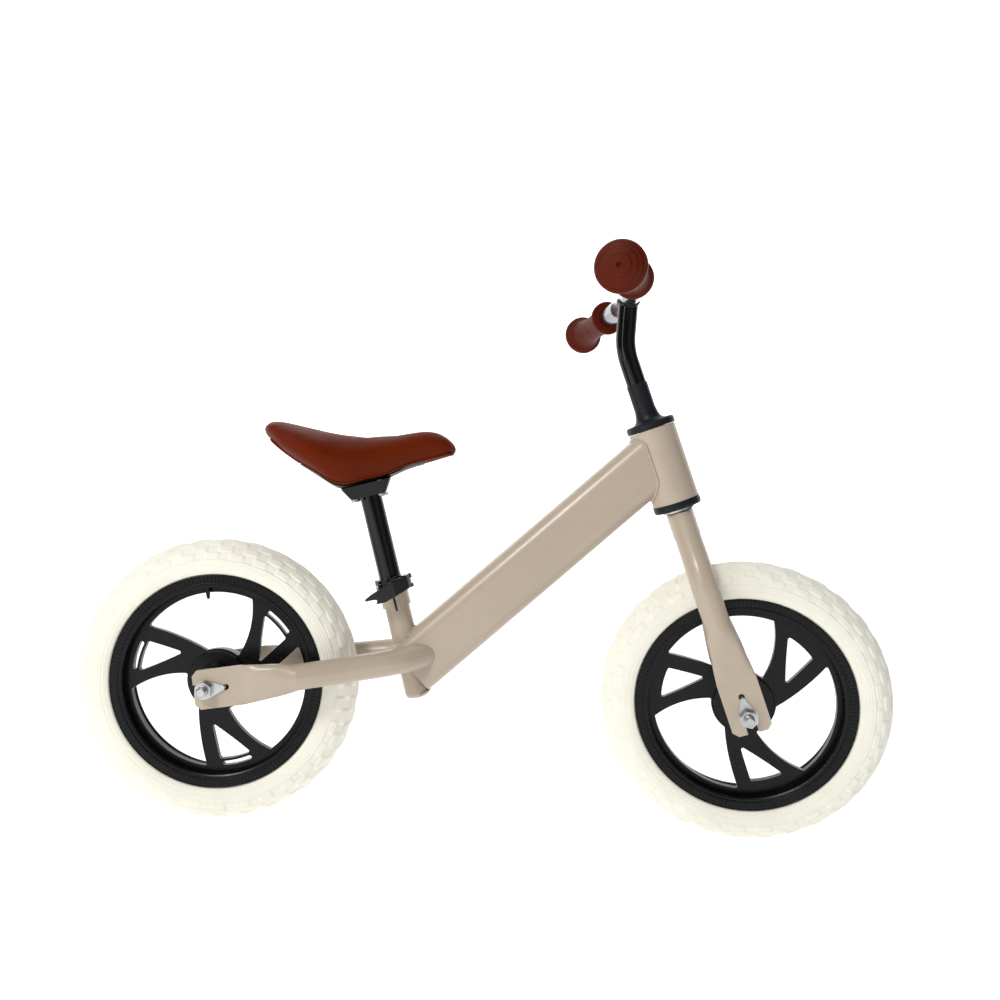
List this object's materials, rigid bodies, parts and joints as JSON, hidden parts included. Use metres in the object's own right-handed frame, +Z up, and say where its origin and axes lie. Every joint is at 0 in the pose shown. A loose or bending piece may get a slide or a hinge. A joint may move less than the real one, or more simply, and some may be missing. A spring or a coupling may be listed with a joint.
{
  "type": "balance bike",
  "caption": "Child balance bike with foam-tyred moulded wheels, unicrown fork, swept handlebar and a padded saddle on a quick-release post.",
  "frame": {"origin": "on the ground, midway between the two axles, in the bike's middle plane", "axes": "+X forward, +Y the rider's left, +Z up"},
  "size_m": [0.8165, 0.4074, 0.5631],
  "materials": {
    "frame_paint": "satin powder coat, warm beige",
    "wheel_plastic": "glossy moulded nylon, black",
    "tyre_foam": "foam tyre, matte off-white",
    "zinc_steel": "zinc plated, bright",
    "black_plastic": "matte black",
    "black_gloss": "gloss black paint",
    "chrome_bar": "chrome plated",
    "grip_rubber": "soft moulded rubber, brown",
    "saddle_cover": "synthetic leather, rust brown"
  },
  "bodies": {
    "frame": {"main_tube": "frame_paint", "head_tube": "frame_paint", "seat_tube": "frame_paint", "seat_tube_sleeve": "frame_paint", "seat_tube_end_cap": "frame_paint", "rear_stay_left": "frame_paint", "rear_stay_right": "frame_paint", "headset_lower_cup": "black_plastic", "headset_upper_cup": "zinc_steel", "headset_lower_balls": "zinc_steel", "headset_upper_balls": "zinc_steel", "rear_axle": "zinc_steel", "rear_axle_spacers": "zinc_steel", "rear_axle_nuts": "zinc_steel", "rear_safety_washers": "zinc_steel", "seat_clamp_band": "black_gloss", "clamp_skewer": "zinc_steel", "cam_washer": "zinc_steel", "clamp_nut": "black_gloss", "lever_pin": "zinc_steel"},
    "fork": {"steerer_tube": "zinc_steel", "fork_crown": "frame_paint", "fork_leg_left": "frame_paint", "fork_leg_right": "frame_paint", "crown_race": "zinc_steel", "headset_top_race": "zinc_steel", "front_axle": "zinc_steel", "front_axle_spacers": "zinc_steel", "front_axle_nuts": "zinc_steel", "front_safety_washers": "zinc_steel", "top_cap": "black_plastic", "stem": "black_gloss", "crossbar": "chrome_bar", "stem_plug": "zinc_steel", "stem_bolt": "zinc_steel", "stem_bolt_washer": "zinc_steel", "grip_left": "grip_rubber", "grip_right": "grip_rubber"},
    "front_wheel": {"front_rim": "wheel_plastic", "front_tyre": "tyre_foam", "front_hub_bearings": "zinc_steel", "front_bearing_spacer": "zinc_steel"},
    "rear_wheel": {"rear_rim": "wheel_plastic", "rear_tyre": "tyre_foam", "rear_hub_bearings": "zinc_steel", "rear_bearing_spacer": "zinc_steel"},
    "seat": {"seat_post": "black_gloss", "saddle_bracket": "black_gloss", "saddle_base": "black_plastic", "saddle_pad": "saddle_cover", "saddle_screws": "zinc_steel"},
    "clamp_lever": {"clamp_lever": "black_gloss"}
  },
  "joints": [
    {"name": "steering", "type": "hinge", "parent": "frame", "child": "fork", "pos_m": [0.17741, 0, 0.37589], "axis": [-0.3584, 0, 0.9336], "continuous": true},
    {"name": "front_wheel_spin", "type": "hinge", "parent": "fork", "child": "front_wheel", "pos_m": [0.267, 0, 0.1425], "axis": [0.1861, 0.9799, 0.0714], "continuous": true},
    {"name": "rear_wheel_spin", "type": "hinge", "parent": "frame", "child": "rear_wheel", "pos_m": [-0.267, 0, 0.1425], "axis": [0, 1, 0], "continuous": true},
    {"name": "seat_height", "type": "slide", "parent": "frame", "child": "seat", "axis": [-0.2706, 0, 0.9627], "range_m": [-0.035, 0.03]},
    {"name": "lever_swing", "type": "hinge", "parent": "frame", "child": "clamp_lever", "pos_m": [-0.07785, -0.0215, 0.252], "axis": [-0.2706, 0, 0.9627], "range_deg": [0, 120]}
  ]
}
